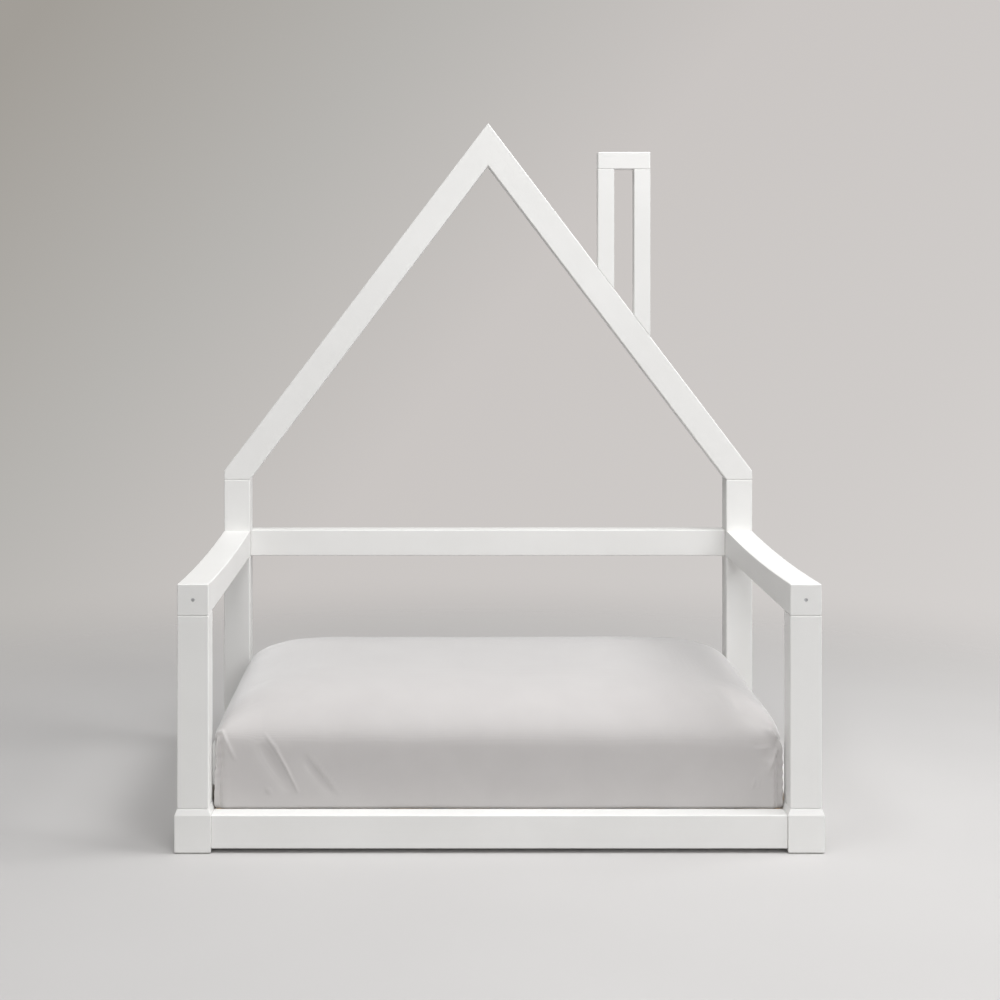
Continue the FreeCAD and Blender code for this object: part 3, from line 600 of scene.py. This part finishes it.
def make_fitted_sheet(material):
    """One layer of cloth round the mattress: it swells a little, creases at its corner seams, and ends in
    a hem under the mattress."""
    points, quads, inset = bedding_form(SHEET_GROWTH)
    swollen = inflate(points, quads)
    underneath = (inset > BOTTOM_ROUND) & (points[:, 2] < SHEET_LOW.z + BOTTOM_ROUND)
    points = np.where(underneath[:, None], points, swollen)
    points, quads = subdivided(points, quads)
    relief = soft_unevenness(points, UNEVEN_SIZE, UNEVEN_HEIGHT) + seam_relief(points) + fold_relief(points)
    points = points + point_normals(points, quads) * relief[:, None]
    points[:, 2] = np.maximum(points[:, 2], SHEET_LOW.z + LOWEST_CLOTH)
    points, quads = cut_to_hem(points, quads)
    sheet = new_object("cotton_sheet", points, quads, material)
    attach(sheet, "mattress")
    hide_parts("fitted_sheet")
    return sheet


# ---------------------------------------------------------------- mattress

def quilting(points):
    """Sewn channels in diamonds, as a depth at each point in plan."""
    channels = np.zeros(len(points))
    for sign in (-1, 1):
        across = (points[:, 0] + sign * points[:, 1]) / math.sqrt(2)
        gap = np.abs((across + QUILT_SPACING / 2) % QUILT_SPACING - QUILT_SPACING / 2)
        channels = np.maximum(channels, np.exp(-(gap / QUILT_WIDTH) ** 2))
    return channels * QUILT_DEPTH


def make_mattress(material):
    """The mattress inside the sheet, quilted in diamonds on its underside."""
    points, quads, inset = bedding_form(-CORE_INSET)
    points[:, 2] -= CORE_INSET - CORE_CLEARANCE
    underneath = (points[:, 2] < SHEET_LOW.z + BOTTOM_ROUND / 2) & (inset > HEM)
    points[:, 2] += np.where(underneath, quilting(points), 0)
    core = new_object("mattress_core", points, quads, material)
    smooth = core.modifiers.new("smooth", "SUBSURF")
    smooth.levels = smooth.render_levels = 1
    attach(core, "mattress")
    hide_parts("mattress")
    return core


# ---------------------------------------------------------------- fasteners

# Points in each ring of a fastener, and the width by which the edge of its head is broken. A shoulder starts
# at this share of the way to the next level, and ends this far under it.
RING_POINTS = 24
EDGE_BREAK = 0.0004
SHOULDER_START = 0.999
SHOULDER_END = 0.0001


def solids_of(node):
    """The points of each of a node's separate solids."""
    joined = bmesh.new()
    joined.from_mesh(nodes[node].data)
    bmesh.ops.remove_doubles(joined, verts=joined.verts, dist=WELD)
    joined.verts.ensure_lookup_table()
    seen, solids = set(), []
    for first in joined.verts:
        if first in seen:
            continue
        seen.add(first)
        waiting, found = [first], []
        while waiting:
            vertex = waiting.pop()
            found.append(vertex.co.copy())
            for edge in vertex.link_edges:
                other = edge.other_vert(vertex)
                if other not in seen:
                    seen.add(other)
                    waiting.append(other)
        solids.append(np.array(found))
    joined.free()
    return solids


def ring(shape, height):
    """A level ring of points: shape gives the radius at each angle."""
    angles = [2 * math.pi * n / RING_POINTS for n in range(RING_POINTS)]
    return [(shape(a) * math.cos(a), shape(a) * math.sin(a), height) for a in angles]


def round_shape(radius):
    """A circle."""
    return lambda angle: radius


def hexagon_shape(half_width):
    """The socket of a hex key, with half its width across the flats."""
    return lambda angle: half_width / math.cos((angle + math.pi / 6) % (math.pi / 3) - math.pi / 6)


def cross_shape(arm, waist):
    """A cross recess with four arms, which narrow to the waist between them."""
    def radius(angle):
        off_arm = abs((angle + math.pi / 4) % (math.pi / 2) - math.pi / 4)
        return waist + (arm - waist) * max(0, 1 - off_arm / 0.5)
    return radius


def turned_profile(outline):
    """The (radius, height) points of a fastener's side, from its (height, radius) at each level: shoulders
    stay sharp, and the edge of the head is broken."""
    profile = [(outline[0][1], outline[0][0])]
    for (height, radius), (next_height, next_radius) in zip(outline, outline[1:]):
        if next_radius > radius + SAME_RADIUS:
            # the narrow part runs on almost up to the shoulder
            profile.append((radius, height + (next_height - height) * SHOULDER_START))
            profile.append((next_radius, next_height - SHOULDER_END))
        else:
            profile.append((next_radius, next_height))
    top, head = outline[-1]
    edge = min(EDGE_BREAK, head / 8)
    return profile[:-1] + [(head, top - edge), (head - edge, top)]


def ring_faces(levels):
    """The faces of a stack of rings, closed at both ends and facing out."""
    faces = [[-n % RING_POINTS for n in range(RING_POINTS)]]
    for level in range(levels - 1):
        low, high = level * RING_POINTS, (level + 1) * RING_POINTS
        for n in range(RING_POINTS):
            after = (n + 1) % RING_POINTS
            faces.append([low + n, low + after, high + after, high + n])
    last = (levels - 1) * RING_POINTS
    faces.append([last + n for n in range(RING_POINTS)])
    return faces


def turned_fastener(solid, axis, recess, depth):
    """The points and faces of a fastener in the place of its solid, with a recess in the end that shows.

    axis points out of that end. The outline follows the solid: its radius at each level."""
    turn = Vector(axis).to_track_quat("Z", "X").to_matrix()
    middle = (Vector(solid.min(0)) + Vector(solid.max(0))) / 2
    local = (solid - np.array(middle)) @ np.array(turn)
    heights = np.round(local[:, 2], 5)
    radii = np.linalg.norm(local[:, :2], axis=1)
    outline = [(height, radii[heights == height].max()) for height in sorted(set(heights))]
    top = outline[-1][0]
    rings = [ring(round_shape(radius), height) for radius, height in turned_profile(outline)]
    rings += [ring(recess, top), ring(recess, top - depth)]
    points = [middle + turn @ Vector(p) for level in rings for p in level]
    return points, ring_faces(len(rings))


def make_fasteners(node, axis_of, recess, depth, material):
    """Detailed fasteners for every solid of a node, as one piece. axis_of gives each one's outer end."""
    points, faces = [], []
    for solid in solids_of(node):
        new_points, new_faces = turned_fastener(solid, axis_of(solid), recess, depth)
        faces += [[v + len(points) for v in face] for face in new_faces]
        points += new_points
    made = new_object(f"detailed_{node}", points, faces, material, smooth=False)
    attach(made, "bed_frame")
    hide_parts(node)


def always(*axis):
    """The same way out for every solid."""
    return lambda solid: axis


def outwards(solid):
    """Out of the back or the side of a back post: along the solid's own length."""
    size = solid.max(0) - solid.min(0)
    if size[1] > size[0]:
        return (0, 1, 0)
    return (math.copysign(1, solid[:, 0].mean()), 0, 0)


def inwards(solid):
    """Into the bed from the inner face of a long rail."""
    return (0, -math.copysign(1, solid[:, 1].mean()), 0)


# ---------------------------------------------------------------- stage, light and camera

# the floor shows in full up to FLOOR_CLEAR from the middle, and is gone from FLOOR_GONE on
FLOOR_CLEAR = 0.8
FLOOR_GONE = 2.6
FLOOR_HALF = 3.0


def floor_material():
    """A pale floor that fades away round the object, so that the plain background takes over."""
    material, tree, shader = new_material("studio_floor", roughness=0.9)
    shader.inputs["Specular IOR Level"].default_value = 0.1
    speck = noise_texture(tree, coordinates(tree), scale=2, detail=2)
    colour = ramp(tree, speck, [(0.3, (0.565, 0.555, 0.550)), (0.7, (0.580, 0.570, 0.565))])
    tree.links.new(colour, shader.inputs["Base Color"])
    distance = tree.nodes.new("ShaderNodeVectorMath")
    distance.operation = "LENGTH"
    tree.links.new(coordinates(tree), distance.inputs[0])
    fade = remap(tree, distance.outputs["Value"], 0, 1, FLOOR_CLEAR, FLOOR_GONE, "SMOOTHERSTEP")
    away = tree.nodes.new("ShaderNodeBsdfTransparent")
    show_between(tree, fade, shader.outputs["BSDF"], away.outputs["BSDF"], "Material Output")
    return material


def make_floor():
    """A flat square floor under the object."""
    outline = [(x * FLOOR_HALF, y * FLOOR_HALF, 0) for x, y in ((-1, -1), (1, -1), (1, 1), (-1, 1))]
    floor = new_object("studio_floor", outline, [[0, 1, 2, 3]], floor_material(), smooth=False)


def make_world():
    """Even light from all round, and a plain greige background whose colour holds painted shade: it darkens
    towards the upper left.
    """
    world = bpy.data.worlds.new("studio")
    scene.world = world
    world.use_nodes = True
    tree = world.node_tree
    light = tree.nodes["Background"]
    light.inputs["Color"].default_value = (1.0, 0.995, 0.985, 1)
    light.inputs["Strength"].default_value = 0.23
    place = tree.nodes.new("ShaderNodeTexCoord")
    slope = tree.nodes.new("ShaderNodeVectorMath")
    slope.operation = "DOT_PRODUCT"
    slope.inputs[1].default_value = (0.6, 0, -0.5)
    tree.links.new(place.outputs["Generated"], slope.inputs[0])
    across = remap(tree, slope.outputs["Value"], 0, 1, start=-0.21, end=0.35)
    # painted shade: the background's own colour darkens towards the upper left, where less light falls on it
    colour = ramp(tree, across, [
        (0.00, (0.362, 0.342, 0.314)),
        (0.23, (0.475, 0.462, 0.442)),
        (0.43, (0.590, 0.562, 0.546)),
        (0.71, (0.625, 0.600, 0.585)),
        (1.00, (0.700, 0.675, 0.660)),
    ])
    background = tree.nodes.new("ShaderNodeBackground")
    tree.links.new(colour, background.inputs["Color"])
    rays = tree.nodes.new("ShaderNodeLightPath")
    seen = rays.outputs["Is Camera Ray"]
    for kind in ("Is Glossy Ray", "Is Transmission Ray"):
        seen = combined(tree, "MAXIMUM", seen, rays.outputs[kind])
    show_between(tree, seen, light.outputs["Background"], background.outputs["Background"], "World Output")


def make_lamp(name, place, target, size, watts):
    """A square soft lamp that faces its target."""
    lamp = bpy.data.lights.new(name, "AREA")
    lamp.shape = "SQUARE"
    lamp.size = size
    lamp.energy = watts
    made = bpy.data.objects.new(name, lamp)
    scene.collection.objects.link(made)
    made.location = place
    made.rotation_euler = (Vector(target) - Vector(place)).to_track_quat("-Z", "Y").to_euler()


def make_camera():
    """A level camera that looks along +Y, a little left of the bed's middle and above its arms."""
    camera = bpy.data.cameras.new("camera")
    camera.sensor_width = 36
    camera.lens = 62.1
    # the middle of the picture is 0.063 of its width right of the point straight ahead, and 0.210 below it
    camera.shift_x = 0.063
    camera.shift_y = -0.210
    made = bpy.data.objects.new("camera", camera)
    scene.collection.objects.link(made)
    made.location = (-0.1046, -3.237, 0.944)
    made.rotation_euler = (math.pi / 2, 0, 0)
    scene.camera = made


# ---------------------------------------------------------------- the bed

def rafter_turn(side):
    """Turns a rafter's length onto X: its slope is that of the line from its foot to the ridge."""
    low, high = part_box(f"{side}_rafter")
    slope = math.atan2(high.z - low.z, high.x - low.x)
    return (0, slope if side == "left" else -slope, 0)


def dress_frame(steel):
    """Gives every node of the frame its material, with the grain along its length."""
    along_x = painted_wood("painted_wood", (0, 0, 0))
    along_y = painted_wood("painted_wood_y", (0, 0, math.pi / 2))
    along_z = painted_wood("painted_wood_z", (0, math.pi / 2, 0))
    pine_x = bare_pine("bare_wood", (0, 0, 0))
    pine_y = bare_pine("bare_wood_y", (0, 0, math.pi / 2))
    by_slot = {"beech_dowel": beech(), "zinc_steel": steel, "felt": felt()}
    for subpart in frame["record"]["subparts"]:
        name, slot = subpart["node"], subpart["material_slot"]
        low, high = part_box(name)
        size = high - low
        if name.endswith("_rafter"):
            material = painted_wood(f"painted_{name}", rafter_turn(name.split("_")[0]))
        elif slot == "painted_wood":
            material = {size.x: along_x, size.y: along_y, size.z: along_z}[max(size)]
        elif slot == "bare_wood":
            material = pine_x if size.x > size.y else pine_y
        elif slot in by_slot:
            material = by_slot[slot]
        else:
            continue
        nodes[name].data.materials.clear()
        nodes[name].data.materials.append(material)


def make_hardware(steel):
    """The fasteners whose ends show, with the recess for their tool."""
    make_fasteners("arm_grub_screws", always(0, -1, 0), hexagon_shape(0.0015), 0.002, steel)
    make_fasteners("frame_bolts", outwards, hexagon_shape(0.0025), 0.0035, steel)
    make_fasteners("post_bolts", always(0, 0, -1), hexagon_shape(0.0025), 0.0035, steel)
    make_fasteners("base_cam_discs", always(0, 0, -1), cross_shape(0.0045, 0.0012), 0.003, steel)
    make_fasteners("rafter_barrel_nuts", always(0, 1, 0), cross_shape(0.0042, 0.0010), 0.003, steel)
    make_fasteners("ledger_screws", inwards, cross_shape(0.0022, 0.0007), 0.0018, steel)
    make_fasteners("slat_screws", always(0, 0, 1), cross_shape(0.0022, 0.0007), 0.0018, steel)


def make_bedding():
    """The mattress and the sheet fitted over it."""
    cotton = woven("sheet_cotton", (0.578, 0.559, 0.553), (0.548, 0.529, 0.524), thread=0.0014, sheen=1.0)
    ticking = woven("mattress_ticking", (0.74, 0.73, 0.70), (0.70, 0.69, 0.66), thread=0.0020, sheen=0.2)
    core = make_mattress(ticking)
    sheet = make_fitted_sheet(cotton)


make_camera()
make_world()
make_floor()
make_lamp("key", place=(2.4, -0.4, 2.7), target=(0, 0, 0.5), size=1.8, watts=66)
make_lamp("fill", place=(0.9, -3.8, 2.2), target=(0, 0, 0.5), size=3.0, watts=47)
make_lamp("top", place=(-0.2, -1.1, 4.2), target=(0, 0, 0.5), size=2.5, watts=98)
zinc_steel = zinc()
dress_frame(zinc_steel)
make_hardware(zinc_steel)
make_bedding()

scene.view_settings.view_transform = "Standard"
